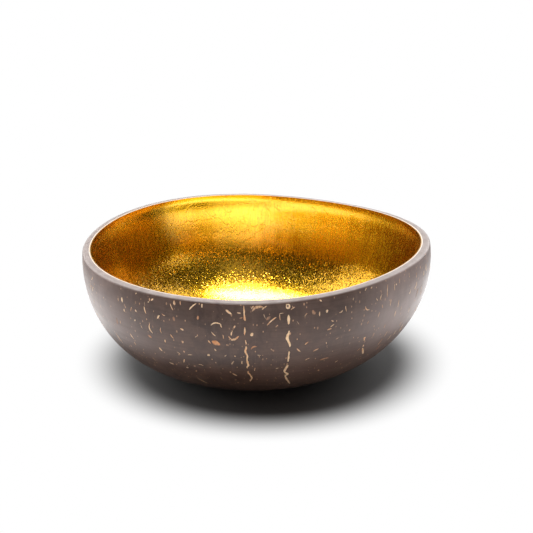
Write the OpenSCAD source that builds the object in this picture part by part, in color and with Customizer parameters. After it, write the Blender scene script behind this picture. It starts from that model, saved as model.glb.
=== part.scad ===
// Coconut shell bowl: one end of a coconut shell, sawn level, sanded, lined with metal leaf and lacquered
// Sizes are in millimetres. +Z is up, -Y is the front, and the nut's axis meets the base at the origin

/* [Shell] */
// Diameter of the shell at its widest ring
bowl_d = 135; // [110:1:160]
// Height of the rim above the base, on the nut's axis
bowl_h = 49.5; // [40:0.5:60]
// Height of the rim above the widest ring
rim_rise = 5; // [2:0.5:10]
// Thickness of the shell
wall = 2.6; // [2:0.1:5]
// Turn of the steep side before the flatter bottom takes over, in degrees
shoulder_turn = 75; // [60:1:80]
// Rounding of the rim's outer edge
rim_round = 1; // [0.3:0.1:1.8]
// Depth sanded off the bottom so that the bowl stands
base_cut = 1.4; // [0.6:0.1:1.8]
// Lean of the nut on its base, with its right side up, in degrees
lean = 0.6; // [0:0.1:1.5]

/* [Lining] */
// Thickness of the pale ground coat on the inside of the shell
ground_t = 0.4; // [0.2:0.05:1]
// Thickness of the metal leaf, drawn thicker than real leaf
leaf_t = 0.15; // [0.1:0.05:0.5]
// Thickness of the clear lacquer over the leaf
clear_t = 0.15; // [0.1:0.05:0.5]

/* [Fibre strands] */
// Depth of the fibre strands in the outer skin of the shell
strand_depth = 0.6; // [0.3:0.1:1.2]
// Direction of the left front seam, in degrees from +X
left_seam_turn = -92.5; // [-100:0.5:-88]
// Direction of the right front seam, in degrees from +X
right_seam_turn = -79.5; // [-83:0.5:-72]
// Direction of the seam on the right side, in degrees from +X
side_seam_turn = -50; // [-60:0.5:-40]
// Width of a typical strand
strand_w = 1; // [0.6:0.1:1.4]
// Length of a typical fleck
fleck_l = 2; // [1:0.1:3]
// Diameter of the round knot at the top of the right front seam
knot_d = 1.9; // [1.2:0.1:2.6]
// Diameter of the brown pith in the middle of that knot
knot_pith_d = 0.7; // [0.3:0.1:1]
// Height of that knot, as a share of the bowl's height
knot_share = 0.965; // [0.93:0.005:0.97]

/* [Hidden] */
$fn = 144;

shell_colour = "#54423b";
ground_colour = "#f3e4d4";
leaf_colour = "#e9b11c";
clear_colour = [1, 0.96, 0.85, 0.25];
strand_colour = "#cda57c";

// Side view of the nut: a steep side arc that runs into a flatter bottom arc without a kink
bowl_r = bowl_d / 2;
widest_z = bowl_h - rim_rise;
nut_depth = widest_z + base_cut;
shoulder_dir = [cos(shoulder_turn), -sin(shoulder_turn)];
arc_share = cos(shoulder_turn) + sin(shoulder_turn) - 1;
steep_r = (nut_depth * cos(shoulder_turn) - bowl_r * (1 - sin(shoulder_turn))) / arc_share;
bottom_r = (bowl_r * sin(shoulder_turn) - nut_depth * (1 - cos(shoulder_turn))) / arc_share;
steep_centre = [bowl_r - steep_r, widest_z];
bottom_centre = [0, bottom_r - base_cut];

// A length that reaches past the whole bowl
far = 4 * (bowl_d + bowl_h);

// Rounding of the rim, touching the rim's plane and the steep side
round_z = bowl_h - rim_round;
round_turn = asin((round_z - widest_z) / (steep_r - rim_round));
round_centre = [steep_centre[0] + (steep_r - rim_round) * cos(round_turn), round_z];

// Reach of the strands' pockets along the radius, from well inside the wall to outside the widest ring
pocket_from = 0.6 * bowl_r;
pocket_to = 1.1 * bowl_r;

// Strands of a seam, from the rim down: each point's share of the bowl's height, then its sway to the right
// and its width, both in typical strand widths
left_seam_strands = [
    [[1.05, -0.1, 0.7], [0.94, 0, 0.9], [0.885, 0.1, 1.1], [0.87, 0.2, 0.4]],
    [[0.82, 0, 0.5], [0.8, 0, 0.9], [0.77, -0.1, 0.9], [0.755, -0.1, 0.4]],
    [[0.715, 0, 0.4], [0.695, 0.2, 0.6], [0.675, 0.1, 0.4]],
    [[0.665, 0.2, 0.5], [0.645, 0.1, 1.1], [0.615, -0.2, 1.1], [0.575, 0.4, 1], [0.54, 0.2, 0.9],
     [0.5, 0.4, 1.3], [0.48, 0.5, 1.2], [0.465, 0, 0.7], [0.45, 0, 0.4]],
    [[0.42, 0.5, 0.5], [0.405, 0.2, 1], [0.35, 1.3, 0.9], [0.315, 0.7, 1], [0.3, 0.5, 0.4]],
];
right_seam_strands = [
    [[0.9, 0.1, 0.4], [0.885, 0.1, 1.1], [0.86, 0, 1.5], [0.84, 0.1, 1.3], [0.825, 0.1, 0.5]],
    [[0.775, 0.3, 0.5], [0.765, 0.2, 0.9], [0.72, -0.4, 1.4], [0.69, 0, 1.3], [0.65, 0.7, 1.1],
     [0.635, 0.6, 0.5]],
    [[0.595, 0.6, 0.5], [0.585, 0.5, 0.9], [0.51, 0.4, 0.8], [0.5, 0.4, 0.4]],
    [[0.465, 0.3, 0.6], [0.455, 0.3, 1.2], [0.4, -0.4, 1.1], [0.365, 1, 1], [0.345, 0.2, 1],
     [0.27, 2, 0.9], [0.235, 2.9, 0.7], [0.225, 2.9, 0.4]],
];
side_seam_strands = [
    [[0.575, 0, 1.5], [0.565, 0, 1.4], [0.54, 0.2, 0.5]],
    [[0.5, 0.8, 0.4], [0.49, 0.9, 0.9], [0.48, 1, 0.4]],
    [[0.468, 1.2, 0.6], [0.455, 1.5, 1.1], [0.41, 3, 1.1], [0.395, 3.5, 0.6]],
];

// Flecks of the front: direction in degrees from the front, share of the height, length and width in
// typical fleck lengths, and tilt
front_flecks = [
    [1, 0.94, 2, 0.5, 20], [5, 0.84, 2.2, 0.3, 40], [8, 0.875, 1.15, 0.3, 95],
    [-1, 0.75, 0.7, 0.45, 70], [-6, 0.72, 1.6, 0.45, 15], [14, 0.58, 1.1, 0.35, 130],
    [-7, 0.81, 0.75, 0.35, 60], [17, 0.64, 0.8, 0.3, 40], [16, 0.88, 1, 0.25, 50],
    [-4.5, 0.5, 0.75, 0.3, 100], [-7, 0.38, 0.95, 0.35, 150], [-16, 0.93, 0.9, 0.5, 40],
    [-23, 0.92, 1.1, 0.35, 100], [-35, 0.9, 1.2, 0.35, 75], [-12, 0.67, 1, 0.45, 160],
    [-53, 0.5, 1.2, 0.35, 60], [-43, 0.6, 1, 0.35, 120], [-45, 0.86, 0.9, 0.4, 30],
    [67, 0.79, 1.3, 0.5, 80], [53, 0.94, 1.3, 0.4, 100],
];
// Each other side of the nut has the same flecks, further round and a step lower
fleck_sides = 3;
fleck_step = 0.03;

// Half of the nut's side view, with its skin taken off to a depth and its top sawn off at the rim
module half_nut(skin) {
    shoulder = steep_centre + (steep_r - skin) * shoulder_dir;
    intersection() {
        translate([0, -far])
            square([far, far + bowl_h]);
        union() {
            intersection() {
                translate(steep_centre)
                    circle(steep_r - skin);
                polygon([steep_centre - far * shoulder_dir, steep_centre + far * shoulder_dir, [far, 0]]);
            }
            intersection() {
                translate(bottom_centre)
                    circle(bottom_r - skin);
                polygon([bottom_centre, bottom_centre + far * shoulder_dir, [0, -far]]);
            }
            // The core lies across the line where the two arcs' parts meet
            polygon([[0, bowl_h], [0, skin - base_cut], shoulder, [bowl_r / 2, bowl_h]]);
        }
    }
}

// The sharp edge that the rim's rounding takes away
module rim_edge() {
    edge_dir = [cos(round_turn), sin(round_turn)];
    translate(round_centre)
        difference() {
            polygon([[0, 0], far * edge_dir, [far, far], [0, far]]);
            circle(rim_round);
        }
}

// One layer of the wall, between two depths below the outer skin
module layer(from, to) {
    rotate_extrude()
        difference() {
            half_nut(from);
            half_nut(to);
        }
}

// The shell before it is sanded flat or loses its strands' pockets
module shell_blank() {
    rotate_extrude()
        difference() {
            half_nut(0);
            half_nut(wall);
            rim_edge();
        }
}

// Leans the nut and takes off what lies below the base
module seated() {
    intersection() {
        rotate([0, -lean, 0])
            children();
        translate([-far / 2, -far / 2, 0])
            cube([far, far, far]);
    }
}

// Stands an outline of sway and height upright, facing out in one direction
module radial_prism(turn) {
    rotate([90, 0, turn + 90])
        translate([0, 0, pocket_from])
            linear_extrude(pocket_to - pocket_from)
                children();
}

// Outline of one strand, from its points' left sides down and back up its right sides
module strand_outline(points) {
    upward = [for (row = [len(points) - 1:-1:0]) points[row]];
    left_side = [for (point = points) [strand_w * (point[1] - point[2] / 2), point[0] * bowl_h]];
    right_side = [for (point = upward) [strand_w * (point[1] + point[2] / 2), point[0] * bowl_h]];
    polygon(concat(left_side, right_side));
}

// Outline of one fleck: a lens of two arcs
module fleck_outline(length, width) {
    lens_r = (length * length + width * width) / (4 * width);
    intersection_for (side = [-1, 1])
        translate([0, side * (lens_r - width / 2)])
            circle(lens_r);
}

module seam_prisms(turn, strands) {
    for (strand = strands)
        radial_prism(turn)
            strand_outline(strand);
}

module left_seam_prisms() {
    seam_prisms(left_seam_turn, left_seam_strands);
}

module right_seam_prisms() {
    seam_prisms(right_seam_turn, right_seam_strands);
    radial_prism(right_seam_turn)
        translate([0, knot_share * bowl_h])
            difference() {
                circle(d = knot_d);
                circle(d = knot_pith_d);
            }
}

module side_seam_prisms() {
    seam_prisms(side_seam_turn, side_seam_strands);
}

module fleck_prisms() {
    for (side = [0:fleck_sides - 1])
        for (fleck = front_flecks)
            radial_prism(fleck[0] - 90 + 360 / fleck_sides * side)
                translate([0, (fleck[1] - fleck_step * side) * bowl_h])
                    rotate(fleck[4])
                        fleck_outline(fleck[2] * fleck_l, fleck[3] * fleck_l);
}

// The part of a strand's prism that lies in the outer skin and outside it
module skin_pockets() {
    difference() {
        children();
        rotate_extrude()
            half_nut(strand_depth);
    }
}

module all_seam_prisms() {
    left_seam_prisms();
    right_seam_prisms();
    side_seam_prisms();
}

module shell() {
    color(shell_colour)
        seated()
            difference() {
                shell_blank();
                skin_pockets() {
                    all_seam_prisms();
                    fleck_prisms();
                }
            }
}

module ground_coat() {
    color(ground_colour)
        seated()
            layer(wall, wall + ground_t);
}

module gold_leaf() {
    color(leaf_colour)
        seated()
            layer(wall + ground_t, wall + ground_t + leaf_t);
}

module clear_coat() {
    color(clear_colour)
        seated()
            layer(wall + ground_t + leaf_t, wall + ground_t + leaf_t + clear_t);
}

// Strands fill their pockets flush with the skin
module inlay() {
    color(strand_colour)
        seated()
            intersection() {
                shell_blank();
                skin_pockets()
                    children();
            }
}

module front_seam_left() {
    inlay()
        left_seam_prisms();
}

module front_seam_right() {
    inlay()
        right_seam_prisms();
}

module side_seam() {
    inlay()
        side_seam_prisms();
}

// Where a seam crosses a fleck, the seam's strand is whole
module fibre_flecks() {
    inlay()
        difference() {
            fleck_prisms();
            all_seam_prisms();
        }
}

shell();
ground_coat();
gold_leaf();
clear_coat();
front_seam_left();
front_seam_right();
side_seam();
fibre_flecks();
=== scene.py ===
"""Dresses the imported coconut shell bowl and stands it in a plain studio.

Lengths are in metres in the part's own frame: +Z is up, -Y is the front, and the base is at the origin.
"""

from __future__ import annotations

import logging
import math
import random
from dataclasses import dataclass, field, replace
from enum import Enum
from typing import Callable, Sequence, Union

import bmesh
import bpy
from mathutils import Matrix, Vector, noise


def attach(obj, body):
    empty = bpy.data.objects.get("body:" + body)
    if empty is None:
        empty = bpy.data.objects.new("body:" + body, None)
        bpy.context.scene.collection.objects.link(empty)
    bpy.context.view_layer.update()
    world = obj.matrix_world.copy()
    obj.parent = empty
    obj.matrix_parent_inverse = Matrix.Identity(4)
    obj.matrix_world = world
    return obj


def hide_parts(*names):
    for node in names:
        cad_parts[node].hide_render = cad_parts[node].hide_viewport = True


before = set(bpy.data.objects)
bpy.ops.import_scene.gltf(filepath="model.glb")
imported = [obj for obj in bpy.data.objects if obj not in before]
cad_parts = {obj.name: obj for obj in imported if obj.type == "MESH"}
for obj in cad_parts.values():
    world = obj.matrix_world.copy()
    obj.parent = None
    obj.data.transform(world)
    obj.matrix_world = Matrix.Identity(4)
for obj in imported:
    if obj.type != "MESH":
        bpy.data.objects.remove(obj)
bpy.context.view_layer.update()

LOG = logging.getLogger("coconut_bowl")
BODY = "root"
MM = 0.001

Colour = tuple[float, float, float, float]
Feed = Union[bpy.types.NodeSocket, float, Colour, tuple[float, float, float]]


class Slot(Enum):
    """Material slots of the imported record."""

    SHELL = "shell"
    GROUND = "ground"
    LEAF = "leaf"
    STRAND = "strand"


class Stroke(Enum):
    """Ways in which a fleck of fibre lies in the skin."""

    STRAIGHT = "straight"
    BENT = "bent"
    HOOKED = "hooked"
    PATCH = "patch"


def smooth_step(low: float, high: float, value: float) -> float:
    """Rises smoothly from 0 at one value to 1 at another.

    Args:
        low: Value at which the rise starts.
        high: Value at which it ends.
        value: Value to place on the rise.

    Returns:
        A share from 0 to 1.
    """
    share = min(max((value - low) / (high - low), 0.0), 1.0)
    return share * share * (3.0 - 2.0 * share)


def curve_through(rows: Sequence[Sequence[float]], share: float) -> list[float]:
    """Follows a smooth curve through rows of numbers.

    Args:
        rows: Points of the curve, each a row of numbers.
        share: Place along the curve, from 0 to 1.

    Returns:
        The numbers at that place.
    """
    place = min(max(share, 0.0), 1.0) * (len(rows) - 1)
    first = min(int(place), len(rows) - 2)
    t = place - first
    before = rows[max(first - 1, 0)]
    start = rows[first]
    end = rows[first + 1]
    after = rows[min(first + 2, len(rows) - 1)]
    result = []
    for a, b, c, d in zip(before, start, end, after):
        bend = 2 * a - 5 * b + 4 * c - d
        twist = 3 * (b - c) + d - a
        result.append(b + 0.5 * t * (c - a + t * (bend + t * twist)))
    return result


@dataclass(frozen=True)
class NutForm:
    """Form of the nut: a side view of two arcs, turned, made slightly three-sided and leaned."""

    width: float = 135 * MM
    height: float = 49.5 * MM
    rim_rise: float = 5 * MM
    base_cut: float = 1.4 * MM
    rim_across: float = 2.3 * MM
    rim_drop: float = 1.0 * MM
    wall: float = 2.6 * MM
    ground: float = 0.4 * MM
    leaf: float = 0.3 * MM
    shoulder: float = math.radians(75)
    lean: float = math.radians(0.6)
    foot_drift: float = 0.02
    swell_inside: tuple[float, ...] = (0, 0, 0, 0, 0.3, 1.0, 1.8, 2.2, 2.0, 1.3, 0)
    waves: tuple[tuple[int, float, float], ...] = (
        (2, -0.9 * MM, math.radians(10)),
        (3, 1.8 * MM, math.radians(7.6)),
        (4, 1.0 * MM, math.radians(15.8)),
    )

    @property
    def radius(self) -> float:
        """Radius of the widest ring."""
        return self.width / 2

    @property
    def widest(self) -> float:
        """Height of the widest ring."""
        return self.height - self.rim_rise

    @property
    def depth(self) -> float:
        """Depth of the whole nut below its widest ring."""
        return self.widest + self.base_cut

    @property
    def steep_radius(self) -> float:
        """Radius of the side arc."""
        spare = math.cos(self.shoulder) + math.sin(self.shoulder) - 1
        return (self.depth * math.cos(self.shoulder) - self.radius * (1 - math.sin(self.shoulder))) / spare

    @property
    def bottom_radius(self) -> float:
        """Radius of the bottom arc."""
        spare = math.cos(self.shoulder) + math.sin(self.shoulder) - 1
        return (self.radius * math.sin(self.shoulder) - self.depth * (1 - math.cos(self.shoulder))) / spare

    def bottom_point(self, skin: float, turn: float) -> Vector:
        """Gives a point of the bottom arc.

        Args:
            skin: Depth under the outer skin.
            turn: Angle below level.

        Returns:
            The point in the XZ plane.
        """
        reach = self.bottom_radius - skin
        centre = self.bottom_radius - self.base_cut
        return Vector((reach * math.cos(turn), 0, centre - reach * math.sin(turn)))

    def side_point(self, skin: float, turn: float) -> Vector:
        """Gives a point of the side arc.

        Args:
            skin: Depth under the outer skin.
            turn: Angle below level.

        Returns:
            The point in the XZ plane.
        """
        reach = self.steep_radius - skin
        centre = self.radius - self.steep_radius
        return Vector((centre + reach * math.cos(turn), 0, self.widest - reach * math.sin(turn)))

    def side_view(self, skin: float, top: float, bottom_steps: int, side_steps: int) -> list[Vector]:
        """Draws half of the side view, from the axis up to a height.

        Args:
            skin: Depth under the outer skin.
            top: Height at which the line ends.
            bottom_steps: Steps along the bottom arc.
            side_steps: Steps along the side arc.

        Returns:
            The line's points in the XZ plane.
        """
        last = -math.asin((top - self.widest) / (self.steep_radius - skin))
        points = []
        for step in range(bottom_steps):
            turn = math.pi / 2 + (self.shoulder - math.pi / 2) * step / bottom_steps
            points.append(self.bottom_point(skin, turn))
        for step in range(side_steps + 1):
            turn = self.shoulder + (last - self.shoulder) * step / side_steps
            points.append(self.side_point(skin, turn))
        points[0].x = 0
        return points

    def lining_view(self, skin: float, bottom_steps: int, side_steps: int) -> list[Vector]:
        """Draws half of the side view of a coat, whose wall is thickest a little under the rim.

        Args:
            skin: Depth under the outer skin, without the thickening.
            bottom_steps: Steps along the bottom arc.
            side_steps: Steps along the side arc.

        Returns:
            The line's points in the XZ plane.
        """
        rows = [(thickening,) for thickening in self.swell_inside]
        points = self.side_view(skin, self.height, bottom_steps, side_steps)
        for point in points[1:]:
            point.x -= curve_through(rows, point.z / self.height)[0] * MM
        return points

    def rounded_rim(self, steps: int) -> list[Vector]:
        """Draws the rim's outer rounding, from the side up to the rim's plane.

        Args:
            steps: Steps along the rounding.

        Returns:
            The line's points in the XZ plane.
        """
        low = self.height - self.rim_drop
        centre = Vector((self.ring_radius(low) - self.rim_across, 0, low))
        points = []
        for step in range(steps + 1):
            turn = math.pi / 2 * step / steps
            away = Vector((self.rim_across * math.cos(turn), 0, self.rim_drop * math.sin(turn)))
            points.append(centre + away)
        return points

    def ring_radius(self, height: float) -> float:
        """Gives the radius of the outer skin at a height.

        Args:
            height: Height on the turned nut.

        Returns:
            The ring's radius.
        """
        if height > self.side_point(0, self.shoulder).z:
            rise = height - self.widest
            return self.radius - self.steep_radius + math.sqrt(self.steep_radius**2 - rise**2)
        rise = height - self.bottom_radius + self.base_cut
        return math.sqrt(max(self.bottom_radius**2 - rise**2, 0.0))

    def outward(self, turn: float, height: float) -> Vector:
        """Gives the outward direction of the outer skin.

        Args:
            turn: Direction round the axis.
            height: Height on the turned nut.

        Returns:
            A unit vector.
        """
        if height > self.side_point(0, self.shoulder).z:
            rise = (height - self.widest) / self.steep_radius
        else:
            rise = (height - self.bottom_radius + self.base_cut) / self.bottom_radius
        level = math.sqrt(max(1 - rise * rise, 0.0))
        return Vector((level * math.cos(turn), level * math.sin(turn), rise))

    def grown(self, point: Vector) -> Vector:
        """Moves a point of the turned nut to where the real nut has it.

        Args:
            point: A point of the turned, upright nut.

        Returns:
            The same point on the slightly three-sided, leaning nut.
        """
        turn = math.atan2(point.y, point.x)
        share = math.hypot(point.x, point.y) / self.radius
        swell = sum(amount * math.cos(order * (turn - start)) for order, amount, start in self.waves)
        scale = 1 + swell / self.radius * share * share
        x = point.x * scale + self.foot_drift * (self.height - point.z)
        cos, sin = math.cos(self.lean), math.sin(self.lean)
        return Vector((x * cos - point.z * sin, point.y * scale, x * sin + point.z * cos))

    def on_skin(self, turn: float, sway: float, height: float, lift: float) -> Vector:
        """Places a point on the outer skin.

        Args:
            turn: Direction that the point is measured from, round the axis.
            sway: Distance to the right of that direction, seen from outside.
            height: Height on the turned nut.
            lift: Distance above the skin.

        Returns:
            The point on the real nut.
        """
        ring = self.ring_radius(height)
        actual = turn + math.asin(min(max(sway / ring, -1.0), 1.0))
        point = Vector((ring * math.cos(actual), ring * math.sin(actual), height))
        return self.grown(point + lift * self.outward(actual, height))


class NodeBench:
    """Adds nodes to one node tree and joins their sockets."""

    def __init__(self, tree: bpy.types.NodeTree) -> None:
        """Starts from an empty tree."""
        self.tree = tree
        tree.nodes.clear()

    def add(self, kind: str, **settings: object) -> bpy.types.Node:
        """Adds a node and sets its properties.

        Args:
            kind: Type of the node.
            **settings: Properties of the node.

        Returns:
            The node.
        """
        node = self.tree.nodes.new(kind)
        for name, value in settings.items():
            setattr(node, name, value)
        return node

    def feed(self, socket: bpy.types.NodeSocket, value: Feed) -> None:
        """Joins a socket to an output, or sets its constant.

        Args:
            socket: Socket to feed.
            value: Output or constant.
        """
        if isinstance(value, bpy.types.NodeSocket):
            self.tree.links.new(value, socket)
        else:
            socket.default_value = value

    def object_coords(self) -> bpy.types.NodeSocket:
        """Gives the piece's own coordinates."""
        return self.add("ShaderNodeTexCoord").outputs["Object"]

    def axes(self, coords: Feed) -> bpy.types.bpy_prop_collection:
        """Splits coordinates.

        Args:
            coords: Coordinates to split.

        Returns:
            The outputs X, Y and Z.
        """
        node = self.add("ShaderNodeSeparateXYZ")
        self.feed(node.inputs[0], coords)
        return node.outputs

    def length(self, vector: Feed) -> bpy.types.NodeSocket:
        """Measures a vector.

        Args:
            vector: Vector to measure.

        Returns:
            Its length.
        """
        node = self.add("ShaderNodeVectorMath", operation="LENGTH")
        self.feed(node.inputs[0], vector)
        return node.outputs["Value"]

    def stretched(self, coords: Feed, scale: tuple[float, float, float],
                  turn: float = 0.0) -> bpy.types.NodeSocket:
        """Stretches coordinates, after a turn about the vertical axis.

        Args:
            coords: Coordinates to stretch.
            scale: Scale along each axis.
            turn: Turn in radians.

        Returns:
            The stretched coordinates.
        """
        node = self.add("ShaderNodeMapping")
        self.feed(node.inputs["Vector"], coords)
        node.inputs["Scale"].default_value = scale
        node.inputs["Rotation"].default_value = (0, 0, turn)
        return node.outputs["Vector"]

    def round_coords(self, coords: Feed, around: float, up: float) -> bpy.types.NodeSocket:
        """Unrolls coordinates round the bowl's axis.

        Args:
            coords: Coordinates to unroll.
            around: Scale of the direction round the axis, per radian.
            up: Scale of the height, per metre.

        Returns:
            Coordinates of direction and height.
        """
        axes = self.axes(coords)
        turn = self.math("ARCTAN2", axes["Y"], axes["X"])
        joined = self.add("ShaderNodeCombineXYZ")
        self.feed(joined.inputs[0], self.math("MULTIPLY", turn, around))
        self.feed(joined.inputs[1], self.math("MULTIPLY", axes["Z"], up))
        return joined.outputs[0]

    def noise(self, coords: Feed, scale: float, detail: float = 2.0, rough: float = 0.5,
              warp: float = 0.0) -> bpy.types.NodeSocket:
        """Adds a noise texture.

        Args:
            coords: Coordinates to read.
            scale: Scale of the noise.
            detail: Octaves.
            rough: Weight of the finer octaves.
            warp: Distortion.

        Returns:
            The noise, about 0 to 1.
        """
        node = self.add("ShaderNodeTexNoise")
        self.feed(node.inputs["Vector"], coords)
        node.inputs["Scale"].default_value = scale
        node.inputs["Detail"].default_value = detail
        node.inputs["Roughness"].default_value = rough
        node.inputs["Distortion"].default_value = warp
        return node.outputs["Fac"]

    def cells(self, coords: Feed, scale: float) -> bpy.types.Node:
        """Adds a cell texture.

        Args:
            coords: Coordinates to read.
            scale: Scale of the cells.

        Returns:
            The texture's node.
        """
        node = self.add("ShaderNodeTexVoronoi")
        self.feed(node.inputs["Vector"], coords)
        node.inputs["Scale"].default_value = scale
        return node

    def math(self, operation: str, first: Feed, second: Feed = 0.0) -> bpy.types.NodeSocket:
        """Adds a sum of one or two values.

        Args:
            operation: Kind of sum.
            first: First value.
            second: Second value.

        Returns:
            The result.
        """
        node = self.add("ShaderNodeMath", operation=operation)
        self.feed(node.inputs[0], first)
        self.feed(node.inputs[1], second)
        return node.outputs[0]

    def vector(self, operation: str, first: Feed, second: Feed = (0.0, 0.0, 0.0)) -> bpy.types.NodeSocket:
        """Adds a sum of one or two vectors.

        Args:
            operation: Kind of sum.
            first: First vector.
            second: Second vector.

        Returns:
            The resulting vector.
        """
        node = self.add("ShaderNodeVectorMath", operation=operation)
        self.feed(node.inputs[0], first)
        self.feed(node.inputs[1], second)
        return node.outputs["Vector"]

    def band(self, value: Feed, low: float, high: float, start: float = 0.0,
             end: float = 1.0) -> bpy.types.NodeSocket:
        """Maps a value smoothly from one span to another.

        Args:
            value: Value to map.
            low: Value at which the rise starts.
            high: Value at which it ends.
            start: Result at the low value.
            end: Result at the high value.

        Returns:
            The mapped value.
        """
        node = self.add("ShaderNodeMapRange", interpolation_type="SMOOTHSTEP")
        self.feed(node.inputs["Value"], value)
        node.inputs["From Min"].default_value = low
        node.inputs["From Max"].default_value = high
        node.inputs["To Min"].default_value = start
        node.inputs["To Max"].default_value = end
        return node.outputs["Result"]

    def blend(self, share: Feed, first: Feed, second: Feed) -> bpy.types.NodeSocket:
        """Mixes two colours.

        Args:
            share: Share of the second colour.
            first: First colour.
            second: Second colour.

        Returns:
            The mixed colour.
        """
        node = self.add("ShaderNodeMix", data_type="RGBA")
        self.feed(node.inputs[0], share)
        self.feed(node.inputs[6], first)
        self.feed(node.inputs[7], second)
        return node.outputs[2]

    def bump(self, height: Feed, distance: float, strength: float = 1.0,
             under: bpy.types.NodeSocket | None = None) -> bpy.types.NodeSocket:
        """Turns a height into a normal.

        Args:
            height: Height over the surface, 0 to 1.
            distance: Real height of 1, in metres.
            strength: Share of the effect.
            under: Normal to start from.

        Returns:
            The bumped normal.
        """
        node = self.add("ShaderNodeBump")
        self.feed(node.inputs["Height"], height)
        node.inputs["Distance"].default_value = distance
        node.inputs["Strength"].default_value = strength
        if under is not None:
            self.feed(node.inputs["Normal"], under)
        return node.outputs["Normal"]

    def attribute(self, name: str) -> bpy.types.NodeSocket:
        """Reads a value painted on the mesh."""
        return self.add("ShaderNodeAttribute", attribute_name=name).outputs["Fac"]

    def surface(self, **inputs: Feed) -> bpy.types.Node:
        """Adds the surface shader and the material's output.

        Args:
            **inputs: The shader's inputs, named with underscores.

        Returns:
            The shader.
        """
        shader = self.add("ShaderNodeBsdfPrincipled")
        for name, value in inputs.items():
            self.feed(shader.inputs[name.replace("_", " ")], value)
        output = self.add("ShaderNodeOutputMaterial")
        self.feed(output.inputs["Surface"], shader.outputs["BSDF"])
        return shader


def new_material(name: str) -> tuple[bpy.types.Material, NodeBench]:
    """Makes an empty material of nodes.

    Args:
        name: Name of the material.

    Returns:
        The material and the bench for its nodes.
    """
    material = bpy.data.materials.new(name)
    material.use_nodes = True
    return material, NodeBench(material.node_tree)


class SandingMarks:
    """Fine level scratches that sandpaper leaves on the shell and on the strands in it."""

    def __init__(self) -> None:
        """Builds the group once."""
        self.tree = bpy.data.node_groups.new("sanding_marks", "ShaderNodeTree")
        self.tree.interface.new_socket("Coords", in_out="INPUT", socket_type="NodeSocketVector")
        self.tree.interface.new_socket("Marks", in_out="OUTPUT", socket_type="NodeSocketFloat")
        bench = NodeBench(self.tree)
        coords = bench.add("NodeGroupInput").outputs["Coords"]
        fine = bench.noise(bench.stretched(coords, (60, 60, 2600)), 1.0, 2.0)
        broad = bench.noise(bench.stretched(coords, (25, 25, 420), 0.4), 1.0, 2.0)
        marks = bench.math("ADD", bench.math("MULTIPLY", fine, 0.6), bench.math("MULTIPLY", broad, 0.4))
        bench.feed(bench.add("NodeGroupOutput").inputs["Marks"], marks)

    def placed(self, bench: NodeBench, coords: Feed) -> bpy.types.NodeSocket:
        """Places the group in a material.

        Args:
            bench: Bench of the material.
            coords: Coordinates to read.

        Returns:
            The marks.
        """
        node = bench.add("ShaderNodeGroup", node_tree=self.tree)
        bench.feed(node.inputs["Coords"], coords)
        return node.outputs["Marks"]


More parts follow.
